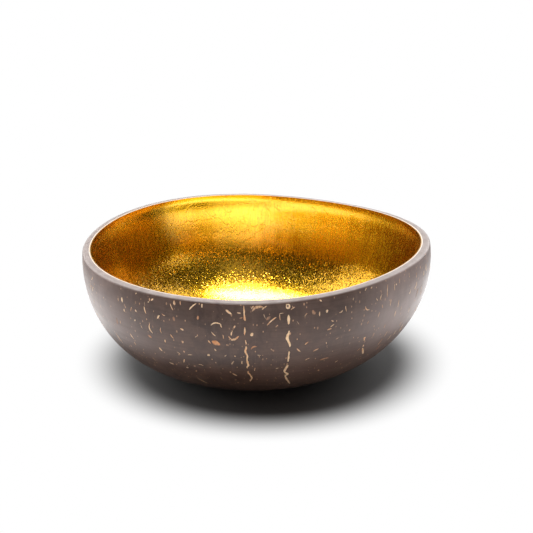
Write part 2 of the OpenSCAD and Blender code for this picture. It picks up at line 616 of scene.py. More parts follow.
@dataclass(frozen=True)
class ShellFinish:
    """Sanded, oiled coconut shell."""

    deep: Colour = (0.040, 0.019, 0.013, 1)
    brown: Colour = (0.080, 0.042, 0.029, 1)
    grey: Colour = (0.112, 0.067, 0.052, 1)
    # Pale tone of the flanks: a painted sheen of grazing light, partly rubbed skin.
    sheen_and_worn: Colour = (0.250, 0.175, 0.155, 1)
    speck: Colour = (0.52, 0.29, 0.16, 1)
    # Rim tones: the raw sawn section, made paler to carry a painted highlight as well.
    rim: Colour = (0.30, 0.245, 0.225, 1)
    rim_pale: Colour = (0.38, 0.325, 0.305, 1)

    def specks(self, bench: NodeBench, coords: Feed, turn: float, scale: float,
               share: float) -> bpy.types.NodeSocket:
        """Scatters tiny strokes of fibre.

        Args:
            bench: Bench of the material.
            coords: Coordinates to read.
            turn: Turn of the scatter, in radians.
            scale: Scale of the cells.
            share: Share of the cells that stay empty.

        Returns:
            A mask of the strokes.
        """
        cells = bench.cells(bench.stretched(coords, (1.5, 1.5, 0.8), turn), scale)
        parts = bench.add("ShaderNodeSeparateColor")
        bench.feed(parts.inputs[0], cells.outputs["Color"])
        near = bench.band(cells.outputs["Distance"], 0.12, 0.24, 1.0, 0.0)
        chosen = bench.band(parts.outputs["Red"], share, share + 0.12)
        faint = bench.band(parts.outputs["Green"], 0.0, 1.0, 0.45, 1.0)
        return bench.math("MULTIPLY", bench.math("MULTIPLY", near, chosen), faint)

    def flank_sheen_and_wear(self, bench: NodeBench, coords: Feed) -> bpy.types.NodeSocket:
        """Paints the two flanks paler, more on the right: a painted sheen of grazing light, broken into
        blotches of rubbed skin.

        Args:
            bench: Bench of the material.
            coords: Coordinates to read.

        Returns:
            A mask of the painted flank sheen and the rubbed skin.
        """
        axes = bench.axes(coords)
        left = bench.band(axes["X"], -0.064, -0.034, 0.7, 0.0)
        right = bench.band(axes["X"], 0.031, 0.056, 0.0, 0.85)
        upper = bench.band(axes["Z"], 0.010, 0.030)
        patches = bench.noise(bench.stretched(coords, (110, 110, 55)), 1.0, 4.0, 0.6)
        blotches = bench.band(patches, 0.34, 0.66, 0.60, 1.0)
        flanks = bench.math("MULTIPLY", bench.math("ADD", left, right), upper)
        return bench.math("MULTIPLY", flanks, blotches)

    def material(self, sanding: SandingMarks) -> bpy.types.Material:
        """Mixes the material.

        Args:
            sanding: Sanding marks shared with the strands.

        Returns:
            The material of the shell.
        """
        material, bench = new_material("sanded_coconut_shell")
        coords = bench.object_coords()
        marks = sanding.placed(bench, coords)
        cloud = bench.noise(coords, 24, 3.0, 0.55)
        mottle = bench.noise(coords, 210, 4.0, 0.6, 0.4)
        grain = bench.noise(bench.round_coords(coords, 34, 26), 1.0, 4.0, 0.6, 0.3)
        colour = bench.blend(bench.band(mottle, 0.38, 0.64), self.deep, self.brown)
        colour = bench.blend(bench.math("MULTIPLY", bench.band(cloud, 0.36, 0.70), 0.75), colour, self.grey)
        colour = bench.blend(bench.math("MULTIPLY", bench.band(grain, 0.50, 0.74), 0.45), colour, self.grey)
        colour = bench.blend(bench.band(marks, 0.40, 0.62, 0.0, 0.30), colour, self.deep)
        # Paler flanks: a painted sheen of grazing light, partly rubbed skin.
        colour = bench.blend(self.flank_sheen_and_wear(bench, coords), colour, self.sheen_and_worn)
        dots = self.specks(bench, coords, 0.3, 620, 0.70)
        dots = bench.math("MAXIMUM", dots, self.specks(bench, coords, 1.4, 400, 0.78))
        colour = bench.blend(bench.math("MULTIPLY", dots, 0.95), colour, self.speck)
        # Rim top and upper rounding: raw section colour with a painted highlight.
        sawn = bench.blend(bench.band(mottle, 0.3, 0.7), self.rim, self.rim_pale)
        colour = bench.blend(bench.attribute("rim"), colour, sawn)
        rough = bench.band(cloud, 0.3, 0.7, 0.30, 0.40)
        rough = bench.math("ADD", rough, bench.band(marks, 0.35, 0.65, 0.0, 0.06))
        relief = bench.bump(marks, 0.00002, 0.6)
        relief = bench.bump(mottle, 0.00006, 0.5, relief)
        bench.surface(Base_Color=colour, Roughness=rough, Normal=relief, IOR=1.36)
        return material


@dataclass(frozen=True)
class StrandFinish:
    """Dry coir fibre, sanded flush with the shell."""

    pale: Colour = (0.86, 0.60, 0.36, 1)
    orange: Colour = (0.62, 0.25, 0.09, 1)
    buried: Colour = (0.125, 0.070, 0.048, 1)

    def material(self, sanding: SandingMarks) -> bpy.types.Material:
        """Mixes the material.

        Args:
            sanding: Sanding marks shared with the shell.

        Returns:
            The material of the strands and flecks.
        """
        material, bench = new_material("coir_fibre")
        coords = bench.object_coords()
        marks = sanding.placed(bench, coords)
        fibre = bench.noise(bench.stretched(coords, (2600, 2600, 420)), 1.0, 3.0, 0.6)
        patch = bench.noise(coords, 700, 3.0)
        tone = bench.math("ADD", bench.attribute("tint"), bench.band(patch, 0.3, 0.7, -0.25, 0.25))
        colour = bench.blend(bench.band(tone, 0.0, 1.0), self.pale, self.orange)
        hidden = bench.math("ADD", bench.attribute("bury"), bench.band(fibre, 0.35, 0.70, -0.15, 0.25))
        colour = bench.blend(bench.band(hidden, 0.0, 1.0), colour, self.buried)
        relief = bench.bump(bench.math("ADD", fibre, marks), 0.00003, 0.6)
        rough = bench.band(patch, 0.3, 0.7, 0.42, 0.55)
        bench.surface(Base_Color=colour, Roughness=rough, Normal=relief, IOR=1.45)
        return material


@dataclass(frozen=True)
class GroundFinish:
    """Pale ground coat under the metal leaf, bare only at the rim."""

    cream: Colour = (0.80, 0.68, 0.58, 1)
    stained: Colour = (0.72, 0.56, 0.43, 1)

    def material(self) -> bpy.types.Material:
        """Mixes the material.

        Returns:
            The material of the ground coat.
        """
        material, bench = new_material("cream_ground_coat")
        coords = bench.object_coords()
        stain = bench.noise(coords, 260, 3.0)
        colour = bench.blend(bench.band(stain, 0.45, 0.75), self.cream, self.stained)
        relief = bench.bump(bench.noise(coords, 1800, 2.0), 0.00003, 0.5)
        bench.surface(Base_Color=colour, Roughness=bench.band(stain, 0.3, 0.7, 0.45, 0.6), Normal=relief)
        return material


@dataclass(frozen=True)
class LeafFinish:
    """Crinkled gold-coloured metal leaf under clear lacquer."""

    gold: Colour = (0.91, 0.50, 0.010, 1)
    amber: Colour = (0.83, 0.41, 0.006, 1)
    bright: Colour = (0.98, 0.64, 0.055, 1)
    crinkle: float = 0.26
    smooth: float = 0.008

    def hairlines(self, bench: NodeBench, coords: Feed, scale: float, width: float) -> bpy.types.NodeSocket:
        """Draws thin wandering lines where a noise passes through its middle.

        Args:
            bench: Bench of the material.
            coords: Coordinates to read.
            scale: Scale of the noise.
            width: Width of the lines, as a span of the noise.

        Returns:
            A mask of the lines.
        """
        field_noise = bench.noise(coords, scale, 3.0, 0.55, 0.6)
        off = bench.math("ABSOLUTE", bench.math("SUBTRACT", field_noise, 0.5))
        return bench.band(off, 0.0, width, 1.0, 0.0)

    def facets(self, bench: NodeBench, coords: Feed, scale: float) -> bpy.types.NodeSocket:
        """Tilts small patches of the leaf at random, most of them hardly and a few by a lot.

        The tilt is largest round the edge of the hollow, smaller in its middle and least on the wall.

        Args:
            bench: Bench of the material.
            coords: Coordinates to read.
            scale: Scale of the patches.

        Returns:
            The tilted normal.
        """
        rise = bench.axes(coords)["Z"]
        random_way = bench.vector("SUBTRACT", bench.cells(coords, scale).outputs["Color"], (0.5, 0.5, 0.5))
        squared = bench.vector("MULTIPLY", random_way, random_way)
        cubed = bench.vector("MULTIPLY", squared, random_way)
        lean = bench.add("ShaderNodeVectorMath", operation="SCALE")
        bench.feed(lean.inputs[0], cubed)
        # A cubed half is an eighth, so 8 brings the largest lean back to 1.
        above = bench.band(rise, 0.022, 0.031, 8 * self.crinkle, 8 * self.smooth)
        below = bench.band(rise, 0.012, 0.019, 0.25, 1.0)
        bench.feed(lean.inputs["Scale"], bench.math("MULTIPLY", above, below))
        upright = bench.add("ShaderNodeNewGeometry").outputs["Normal"]
        return bench.vector("NORMALIZE", bench.vector("ADD", upright, lean.outputs["Vector"]))

    def material(self) -> bpy.types.Material:
        """Mixes the material.

        Returns:
            The material of the leaf and its lacquer.
        """
        material, bench = new_material("lacquered_metal_leaf")
        coords = bench.object_coords()
        cloud = bench.noise(coords, 42, 3.0)
        grain = bench.noise(coords, 1500, 2.0, 0.6)
        rise = bench.axes(coords)["Z"]
        wall = bench.band(rise, 0.014, 0.024)
        upright = bench.round_coords(coords, 60, 90)
        lines = bench.math("MULTIPLY", self.hairlines(bench, upright, 1.0, 0.030), wall)
        creases = self.hairlines(bench, coords, 130, 0.025)
        colour = bench.blend(bench.band(cloud, 0.32, 0.68), self.amber, self.gold)
        colour = bench.blend(bench.band(grain, 0.52, 0.78, 0.0, 0.3), colour, self.bright)
        colour = bench.blend(bench.math("MULTIPLY", lines, 0.15), colour, self.bright)
        rough = bench.band(grain, 0.3, 0.7, 0.20, 0.25)
        rough = bench.math("ADD", rough, bench.math("MULTIPLY", lines, 0.06))
        lacquer = bench.band(rise, 0.014, 0.026, 1.0, 0.6)
        relief = self.facets(bench, coords, 3400)
        waves = bench.math("MULTIPLY", bench.noise(bench.round_coords(coords, 5, 12), 1.0, 1.0), wall)
        relief = bench.bump(waves, 0.0012, 0.35, relief)
        relief = bench.bump(creases, 0.00003, 0.35, relief)
        relief = bench.bump(lines, 0.00002, 0.25, relief)
        bench.surface(
            Base_Color=colour, Metallic=1.0, Roughness=rough, Normal=relief,
            Coat_Weight=lacquer, Coat_Roughness=0.10, Coat_IOR=1.5, Coat_Normal=relief,
        )
        return material


def finished_piece(bm: bmesh.types.BMesh, name: str, material: bpy.types.Material,
                   nodes: Sequence[str]) -> bpy.types.Object:
    """Closes a mesh and makes it a piece of the bowl.

    Args:
        bm: Mesh of the piece, in its place.
        name: Name of the piece.
        material: Finish of the piece.
        nodes: CAD nodes that the piece stands for.

    Returns:
        The piece's object.
    """
    bmesh.ops.remove_doubles(bm, verts=bm.verts, dist=1e-6)
    bmesh.ops.recalc_face_normals(bm, faces=bm.faces)
    mesh = bpy.data.meshes.new(name)
    bm.to_mesh(mesh)
    bm.free()
    mesh.polygons.foreach_set("use_smooth", [True] * len(mesh.polygons))
    mesh.set_sharp_from_angle(angle=math.radians(40))
    mesh.materials.append(material)
    piece = bpy.data.objects.new(name, mesh)
    bpy.context.scene.collection.objects.link(piece)
    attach(piece, BODY)
    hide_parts(*nodes)
    LOG.info("%s: %d faces", name, len(mesh.polygons))
    return piece


def turned(points: Sequence[Vector], steps: int) -> bmesh.types.BMesh:
    """Turns a line once round the bowl's axis.

    Args:
        points: Points of the line, in the XZ plane.
        steps: Steps of the turn.

    Returns:
        The turned mesh.
    """
    bm = bmesh.new()
    line = [bm.verts.new(point) for point in points]
    edges = [bm.edges.new(pair) for pair in zip(line, line[1:])]
    bmesh.ops.spin(
        bm, geom=line + edges, cent=(0, 0, 0), axis=(0, 0, 1), dvec=(0, 0, 0),
        angle=math.tau, steps=steps, use_merge=True, use_duplicate=False,
    )
    bmesh.ops.remove_doubles(bm, verts=bm.verts, dist=1e-6)
    return bm


@dataclass
class Shell:
    """The sawn and sanded half of the nut."""

    form: NutForm
    steps: int = 240
    bottom_steps: int = 22
    side_steps: int = 42
    rim_steps: int = 10
    inside_steps: tuple[int, int] = (10, 20)
    base_edge: float = 1.2 * MM

    def outline(self) -> list[Vector]:
        """Draws the wall in section.

        Returns:
            Points from the axis outside, over the rim, to the axis inside.
        """
        form = self.form
        outer = form.side_view(0, form.rounded_rim(1)[0].z, self.bottom_steps, self.side_steps)
        inner = form.side_view(form.wall, form.height, *self.inside_steps)
        return outer[:-1] + form.rounded_rim(self.rim_steps) + inner[::-1]

    def paint_rim_and_highlight(self, bm: bmesh.types.BMesh) -> None:
        """Marks the sawn rim's top and upper rounding, drawn paler both for its raw section and as a painted
        highlight, which reaches further down the rounding towards the flanks.

        Args:
            bm: Mesh of the shell, still upright.
        """
        layer = bm.verts.layers.float.new("rim")
        for vert in bm.verts:
            aside = abs(vert.co.x) / self.form.radius
            low = self.form.height - (0.45 + 0.3 * aside**2) * self.form.rim_drop
            high = self.form.height - (0.15 + 0.2 * aside**2) * self.form.rim_drop
            vert[layer] = smooth_step(low, high, vert.co.z)

    def build(self, material: bpy.types.Material) -> bpy.types.Object:
        """Builds the shell with its flat, sanded base.

        Args:
            material: Finish of the shell.

        Returns:
            The shell's object.
        """
        bm = turned(self.outline(), self.steps)
        self.paint_rim_and_highlight(bm)
        for vert in bm.verts:
            vert.co = self.form.grown(vert.co)
        everything = bm.verts[:] + bm.edges[:] + bm.faces[:]
        bmesh.ops.bisect_plane(
            bm, geom=everything, dist=1e-7, plane_co=(0, 0, 0), plane_no=(0, 0, -1), clear_outer=True
        )
        hole = [edge for edge in bm.edges if edge.is_boundary]
        base = bmesh.ops.edgeloop_fill(bm, edges=hole)["faces"]
        bmesh.ops.inset_region(bm, faces=base, thickness=self.base_edge, depth=0.0, use_even_offset=True)
        return finished_piece(bm, "shell_body", material, ["shell"])


@dataclass
class Lining:
    """The coats on the inside of the shell."""

    form: NutForm
    steps: int = 240
    back_steps: tuple[int, int] = (12, 24)
    face_steps: tuple[int, int] = (20, 44)

    def coat(self, back: Sequence[Vector], front: Sequence[Vector]) -> bmesh.types.BMesh:
        """Builds one coat over the whole inside.

        Args:
            back: Line of the coat's back, from the axis to the rim.
            front: Line of the coat's face, from the axis to the rim.

        Returns:
            The coat's mesh, in its place.
        """
        bm = turned([*back, *reversed(front)], self.steps)
        for vert in bm.verts:
            vert.co = self.form.grown(vert.co)
        return bm

    def build(self, ground: bpy.types.Material, leaf: bpy.types.Material) -> list[bpy.types.Object]:
        """Builds the ground coat and the lacquered leaf over it.

        Args:
            ground: Finish of the ground coat.
            leaf: Finish of the leaf and its lacquer.

        Returns:
            The two pieces.
        """
        form = self.form
        shell_side = form.side_view(form.wall, form.height, *self.back_steps)
        between = form.lining_view(form.wall + form.ground, *self.face_steps)
        face = form.lining_view(form.wall + form.ground + form.leaf, *self.face_steps)
        under = self.coat(shell_side, between)
        over = self.coat(between, face)
        return [
            finished_piece(under, "ground_coat_layer", ground, ["ground_coat"]),
            finished_piece(over, "gold_lining", leaf, ["gold_leaf", "clear_coat"]),
        ]


Path = Callable[[float], tuple[float, float, float]]


@dataclass
class Inlay:
    """Slivers of fibre that lie flush in the skin of the shell."""

    form: NutForm
    lift: float = 0.03 * MM
    sink: float = 0.25 * MM

    def start(self) -> bmesh.types.BMesh:
        """Starts a mesh.

        Returns:
            A mesh that keeps each sliver's tint and how deep it is buried.
        """
        bm = bmesh.new()
        bm.verts.layers.float.new("tint")
        bm.verts.layers.float.new("bury")
        return bm

    def sliver(self, bm: bmesh.types.BMesh, turn: float, path: Path, rows: int, tint: float,
               bury: float) -> None:
        """Adds one closed sliver that follows a path on the skin.

        Args:
            bm: Mesh to add to.
            turn: Direction that the path's sway is measured from.
            path: Gives sway, height and width at a share of the length.
            rows: Steps along the length.
            tint: Tint from pale to orange, 0 to 1.
            bury: How much of the shell covers the sliver, 0 to 1.
        """
        tint_layer = bm.verts.layers.float["tint"]
        bury_layer = bm.verts.layers.float["bury"]
        grid = bmesh.ops.create_grid(bm, x_segments=2, y_segments=rows, size=0.5)
        sheet = list({face for vert in grid["verts"] for face in vert.link_faces})
        for vert in grid["verts"]:
            across, share = vert.co.x, vert.co.y + 0.5
            sway, height, width = path(share)
            ahead = path(min(share + 0.02, 1.0))
            behind = path(max(share - 0.02, 0.0))
            way = Vector((ahead[0] - behind[0], ahead[1] - behind[1])).normalized()
            sway += across * width * way.y
            height -= across * width * way.x
            height = min(height, self.form.height - 0.9 * self.form.rim_drop)
            crown = self.lift * (1.0 - abs(across))
            vert.co = self.form.on_skin(turn, sway, height, crown)
            vert[tint_layer] = tint
            vert[bury_layer] = bury + 0.5 * abs(across)
        pushed = bmesh.ops.extrude_face_region(bm, geom=sheet)
        for vert in pushed["geom"]:
            if isinstance(vert, bmesh.types.BMVert):
                out = Vector((vert.co.x, vert.co.y, vert.co.z - self.form.widest))
                vert.co = vert.co - self.sink * out.normalized()


SeamRows = tuple[tuple[tuple[float, float, float], ...], ...]


@dataclass
class Seam(Inlay):
    """A broken line of strands where two sides of the nut meet."""

    name: str = ""
    node: str = ""
    turn: float = 0.0
    tint: float = 0.3
    slim: float = 0.64
    strands: SeamRows = ()
    knot: tuple[float, float, float] | None = None

    def strand_path(self, rows: Sequence[Sequence[float]], seed: float) -> Path:
        """Gives the path of one strand, with the ragged edges of dry fibre.

        Args:
            rows: Share of the height, sway and width in millimetres, from the top down.
            seed: Place in the noise that roughens the edges.

        Returns:
            The strand's path.
        """

        def path(share: float) -> tuple[float, float, float]:
            """Gives sway, height and width at a share of the length.

            Args:
                share: Share of the length, from 0 to 1.

            Returns:
                Sway, height and width.
            """
            height, sway, width = curve_through(rows, share)
            rough = noise.noise(Vector((seed, height * 40.0, 0.0)))
            rough += 0.6 * noise.noise(Vector((seed, height * 110.0, 3.0)))
            wander = noise.noise(Vector((seed + 9.0, height * 45.0, 0.0)))
            taper = 0.35 + 0.65 * smooth_step(0.0, 0.12, min(share, 1.0 - share))
            ragged = self.slim * width * (1.0 + 0.45 * rough) * taper
            return (sway + 0.14 * wander) * MM, height * self.form.height, ragged * MM

        return path

    def add_knot(self, bm: bmesh.types.BMesh) -> None:
        """Adds the ring of fibre round the knot.

        Args:
            bm: Mesh of the seam.
        """
        share, outer, inner = self.knot or (0.0, 0.0, 0.0)
        middle = (outer + inner) / 4 * MM
        height = share * self.form.height

        def path(along: float) -> tuple[float, float, float]:
            """Gives sway, height and width round the ring.

            Args:
                along: Share of the ring, from 0 to 1.

            Returns:
                Sway, height and width.
            """
            turn = along * math.tau * 0.995
            width = (outer - inner) / 2 * (0.85 + 0.25 * math.sin(turn + 1.0)) * MM
            return middle * 0.85 * math.sin(turn), height - middle * 1.15 * math.cos(turn), width

        self.sliver(bm, self.turn, path, 28, self.tint, 0.1)

    def build(self, material: bpy.types.Material) -> bpy.types.Object:
        """Builds all the strands of the seam.

        Args:
            material: Finish of the fibre.

        Returns:
            The seam's object.
        """
        bm = self.start()
        for number, rows in enumerate(self.strands):
            length = (rows[0][0] - rows[-1][0]) * self.form.height
            steps = max(10, int(length / (0.35 * MM)))
            path = self.strand_path(rows, 3.7 * number + self.turn)
            self.sliver(bm, self.turn, path, steps, self.tint, -0.15)
        if self.knot:
            self.add_knot(bm)
        return finished_piece(bm, self.name, material, [self.node])


@dataclass(frozen=True)
class Fleck:
    """One fleck.

    Its turn from the front and its tilt are in degrees, its share is of the height, and its length and
    width are in millimetres.
    """

    turn: float
    share: float
    length: float
    width: float
    tilt: float
    tint: float = 0.25
    bury: float = 0.1
    stroke: Stroke = Stroke.STRAIGHT


FRONT_FLECKS: tuple[Fleck, ...] = (
    Fleck(1.5, 0.955, 4.2, 1, 20, 0.55, 0.25, Stroke.BENT),
    Fleck(5.5, 0.86, 4.4, 0.5, 42, 0.35, 0.1),
    Fleck(8, 0.89, 2.6, 0.4, 95, 0.5, 0.3),
    Fleck(-0.5, 0.76, 1.4, 1.1, 70, 0.15, 0.0, Stroke.PATCH),
    Fleck(-5.5, 0.72, 3.2, 0.8, 15, 0.6, 0.2, Stroke.HOOKED),
    Fleck(14, 0.6, 2.2, 0.5, 130, 0.45, 0.15),
    Fleck(-5.5, 0.82, 1.2, 0.6, 60, 0.35, 0.15),
    Fleck(16.5, 0.65, 1.6, 0.5, 40, 0.5, 0.2),
    Fleck(18.5, 0.895, 2, 1.4, 120, 0.85, 0.45, Stroke.PATCH),
    Fleck(-4, 0.51, 1.6, 0.5, 85, 0.4, 0.25),
    Fleck(-7, 0.38, 2, 0.5, 140, 0.4, 0.15),
    Fleck(-15, 0.975, 2.2, 0.5, 85, 0.4, 0.2),
    Fleck(-24, 0.965, 1.8, 0.9, 95, 0.45, 0.3),
    Fleck(-35, 0.86, 2.8, 0.5, 105, 0.3, 0.1),
    Fleck(-11.5, 0.68, 3.2, 1.7, 155, 0.9, 0.2, Stroke.PATCH),
    Fleck(-54, 0.5, 4.4, 0.5, 108, 0.35, 0.15),
    Fleck(-44, 0.59, 2.4, 0.5, 120, 0.3, 0.1),
    Fleck(-45, 0.885, 2, 0.7, 95, 0.15, 0.0),
    Fleck(70, 0.74, 3, 1.3, 80, 1.0, 0.7, Stroke.PATCH),
    Fleck(53, 0.9, 2.6, 0.5, 88, 0.4, 0.25),
)

SKIN_FLECKS: tuple[Fleck, ...] = (
    Fleck(-74, 0.9, 2.4, 0.4, 95, 0.5, 0.5),
    Fleck(-66, 0.72, 1.8, 0.4, 80, 0.5, 0.45),
    Fleck(-47, 0.875, 1.4, 0.4, 90, 0.6, 0.35),
    Fleck(-48, 0.685, 1.5, 0.4, 80, 0.6, 0.4),
    Fleck(-44.5, 0.805, 1.1, 0.45, 92, 0.2, 0.1),
    Fleck(-44, 0.525, 1.4, 0.4, 95, 0.4, 0.3),
    Fleck(-41, 0.835, 2, 0.35, 70, 0.5, 0.3),
    Fleck(-40, 0.75, 0.8, 0.5, 60, 0.4, 0.15),
    Fleck(-39, 0.835, 0.9, 0.6, 130, 0.4, 0.15),
    Fleck(-38.5, 0.97, 1, 0.3, 45, 0.2, 0.35),
    Fleck(-37.5, 0.71, 1.4, 0.3, 110, 0.5, 0.4),
    Fleck(-38, 0.415, 1.4, 0.3, 120, 0.3, 0.4),
    Fleck(-35, 0.91, 1.7, 0.3, 95, 0.2, 0.45),
    Fleck(-35, 0.645, 1.8, 1, 150, 0.95, 0.4, Stroke.PATCH),
    Fleck(-33.5, 0.93, 0.7, 0.4, 30, 0.0, 0.1),
    Fleck(-33.5, 0.72, 4, 0.5, 98, 0.35, 0.1, Stroke.BENT),
    Fleck(-32, 0.955, 1.4, 0.5, 42, 0.1, 0.05),
    Fleck(-32, 0.545, 1.8, 0.6, 120, 0.3, 0.0),
    Fleck(-30, 0.83, 1.9, 0.6, 55, 0.2, 0.05),
    Fleck(-30, 0.725, 2.2, 0.35, 250, 0.5, 0.3, Stroke.HOOKED),
    Fleck(-30, 0.42, 1.9, 0.5, 165, 0.3, 0.2),
    Fleck(-29, 0.635, 1.3, 0.5, 80, 0.4, 0.2),
    Fleck(-28, 0.86, 1.5, 0.4, 160, 0.6, 0.45, Stroke.BENT),
    Fleck(-26, 0.69, 1.9, 0.45, 125, 0.4, 0.15),
    Fleck(-25, 0.93, 2.6, 0.4, 115, 0.35, 0.15),
    Fleck(-25, 0.545, 1.6, 0.4, 120, 0.3, 0.35, Stroke.HOOKED),
    Fleck(-24.5, 0.84, 1.8, 1.1, 95, 0.95, 0.65, Stroke.PATCH),
    Fleck(-24, 0.475, 2, 0.45, 65, 0.5, 0.15),
    Fleck(-24, 0.405, 1, 0.5, 5, 0.2, 0.1),
    Fleck(-22.5, 0.655, 1.1, 0.7, 70, 0.5, 0.25, Stroke.PATCH),
    Fleck(-22, 0.765, 1.3, 0.7, 160, 0.4, 0.1),
    Fleck(-22, 0.97, 1.6, 0.5, 95, 0.5, 0.35),
    Fleck(-21, 0.545, 1.8, 0.4, 10, 0.2, 0.3),
    Fleck(-21, 0.38, 0.8, 0.5, 45, 0.5, 0.2),
    Fleck(-21, 0.26, 4.4, 0.4, 130, 0.3, 0.15),
    Fleck(-18, 0.955, 3.7, 0.5, 44, 0.15, 0.0),
    Fleck(-18, 0.46, 1.8, 0.3, 150, 0.2, 0.35, Stroke.HOOKED),
    Fleck(-17.5, 0.72, 1.4, 0.3, 35, 0.2, 0.4),
    Fleck(-16.5, 0.875, 1.5, 0.8, 80, 0.85, 0.4, Stroke.PATCH),
    Fleck(-14.5, 0.565, 1, 0.9, 30, 0.1, 0.15, Stroke.PATCH),
    Fleck(-13.5, 0.685, 1.6, 0.5, 125, 0.5, 0.2),
    Fleck(-12, 0.755, 2.2, 0.35, 130, 0.3, 0.15),
    Fleck(-12, 0.62, 1, 0.5, 120, 0.3, 0.2),
    Fleck(-11, 0.83, 3.8, 0.5, 8, 0.2, 0.05, Stroke.BENT),
    Fleck(-9.5, 0.825, 1.4, 0.4, 105, 0.25, 0.1),
    Fleck(-9, 0.735, 1.4, 0.4, 90, 0.6, 0.3),
    Fleck(-9, 0.57, 1, 0.4, 50, 0.1, 0.3),
    Fleck(-7, 0.73, 1.7, 0.4, 130, 0.5, 0.2),
    Fleck(-7, 0.935, 2.3, 0.9, 140, 0.2, 0.05),
    Fleck(-7, 0.505, 2, 0.5, 60, 0.1, 0.45),
    Fleck(-6.5, 0.765, 1.6, 0.5, 80, 0.3, 0.15),
    Fleck(-6, 0.57, 0.7, 0.5, 140, 0.3, 0.2),
    Fleck(-4, 0.93, 1.4, 0.6, 170, 0.5, 0.35),
    Fleck(-3.5, 0.89, 1.2, 0.5, 20, 0.7, 0.55),
    Fleck(0, 0.97, 1.4, 0.5, 50, 0.3, 0.2),
    Fleck(0, 0.645, 2.4, 0.6, 30, 0.75, 0.35, Stroke.BENT),
    Fleck(0, 0.44, 1.6, 0.4, 80, 0.5, 0.3),
    Fleck(1.5, 0.58, 1.4, 0.3, 170, 0.2, 0.4),
    Fleck(3.5, 0.965, 2.2, 0.5, 35, 0.4, 0.2),
    Fleck(3.5, 0.9, 2, 0.3, 110, 0.4, 0.45),
    Fleck(4.5, 0.885, 2, 1.1, 40, 0.9, 0.6, Stroke.PATCH),
    Fleck(5.5, 0.625, 1.4, 0.3, 130, 0.3, 0.4),
    Fleck(7, 0.82, 1.2, 0.4, 40, 0.4, 0.2),
    Fleck(8.5, 0.915, 1.5, 0.3, 5, 0.4, 0.35),
    Fleck(7.5, 0.44, 1.2, 0.3, 20, 0.3, 0.4),
    Fleck(12, 0.945, 1.8, 0.5, 30, 0.5, 0.3),
    Fleck(13.5, 0.83, 1.6, 0.3, 120, 0.3, 0.45),
    Fleck(16, 0.885, 1.6, 0.4, 50, 0.6, 0.4),
    Fleck(17.5, 0.5, 1.8, 0.35, 25, 0.4, 0.35),
    Fleck(20, 0.575, 2.3, 0.5, 20, 0.75, 0.25),
    Fleck(20.5, 0.875, 1.8, 0.5, 88, 0.5, 0.2),
    Fleck(21, 0.975, 1.2, 0.6, 140, 0.4, 0.15),
    Fleck(23, 0.885, 1.2, 0.9, 80, 0.1, 0.05, Stroke.PATCH),
    Fleck(23.5, 0.355, 0.9, 0.6, 120, 0.5, 0.2),
    Fleck(23.5, 0.62, 1, 0.4, 100, 0.5, 0.35),
    Fleck(24, 0.735, 1.8, 0.5, 8, 0.5, 0.25),
    Fleck(25, 0.76, 1.8, 0.4, 30, 0.4, 0.25),
    Fleck(24, 0.47, 3.6, 0.7, 5, 0.9, 0.5),
    Fleck(25, 0.8, 1.2, 0.5, 150, 0.4, 0.3),
    Fleck(27.5, 0.64, 1.6, 0.4, 20, 0.8, 0.6),
    Fleck(28, 0.86, 1.6, 0.5, 200, 0.5, 0.25, Stroke.BENT),
    Fleck(30, 0.87, 2.3, 0.4, 100, 0.35, 0.2),
    Fleck(30, 0.41, 1.3, 0.4, 30, 0.3, 0.35),
    Fleck(32, 0.685, 0.8, 0.6, 60, 0.6, 0.25),
    Fleck(33, 0.93, 1, 0.4, 70, 0.4, 0.4),
    Fleck(38.5, 0.975, 1.7, 0.4, 45, 0.4, 0.25),
    Fleck(39, 0.825, 3, 0.5, 140, 0.4, 0.2, Stroke.BENT),
    Fleck(39, 0.465, 1.6, 0.4, 30, 0.7, 0.4),
    Fleck(40, 0.7, 1.2, 0.5, 60, 0.6, 0.35),
    Fleck(41, 0.97, 0.9, 0.5, 30, 0.3, 0.2),
    Fleck(43.5, 0.865, 1.6, 0.4, 130, 0.35, 0.25),
    Fleck(45.5, 0.87, 2.6, 0.4, 60, 0.35, 0.25),
    Fleck(45, 0.73, 2.2, 0.4, 70, 0.5, 0.35),
    Fleck(46.5, 0.79, 1.8, 0.4, 110, 0.4, 0.3),
    Fleck(49, 0.9, 5, 0.4, 84, 0.35, 0.2),
    Fleck(50, 0.6, 1.6, 0.4, 80, 0.6, 0.4),
    Fleck(51, 0.79, 2.8, 0.45, 82, 0.45, 0.25),
    Fleck(51.5, 0.45, 3.2, 0.6, 62, 0.7, 0.3),
    Fleck(53, 0.51, 2.6, 0.4, 66, 0.5, 0.3),
    Fleck(53, 0.39, 2.8, 0.6, 60, 0.75, 0.3),
    Fleck(54, 0.915, 0.6, 0.5, 90, 0.0, -0.2, Stroke.PATCH),
    Fleck(55, 0.67, 2.8, 0.5, 88, 0.35, 0.2),
    Fleck(56, 0.75, 2.8, 0.45, 92, 0.3, 0.2),
    Fleck(56, 0.93, 2, 0.4, 86, 0.6, 0.3),
    Fleck(58, 0.44, 2.6, 0.5, 66, 0.35, 0.2),
    Fleck(58.5, 0.69, 1.8, 0.4, 80, 0.4, 0.35),
    Fleck(61, 0.46, 2.1, 0.5, 66, 0.3, 0.15),
    Fleck(62.5, 0.53, 1.9, 0.5, 75, 0.5, 0.3),
    Fleck(66, 0.62, 2.4, 0.4, 80, 0.5, 0.4),
    Fleck(74, 0.73, 4, 0.5, 86, 0.7, 0.35),
    Fleck(76, 0.56, 2.2, 0.4, 78, 0.5, 0.45),
)


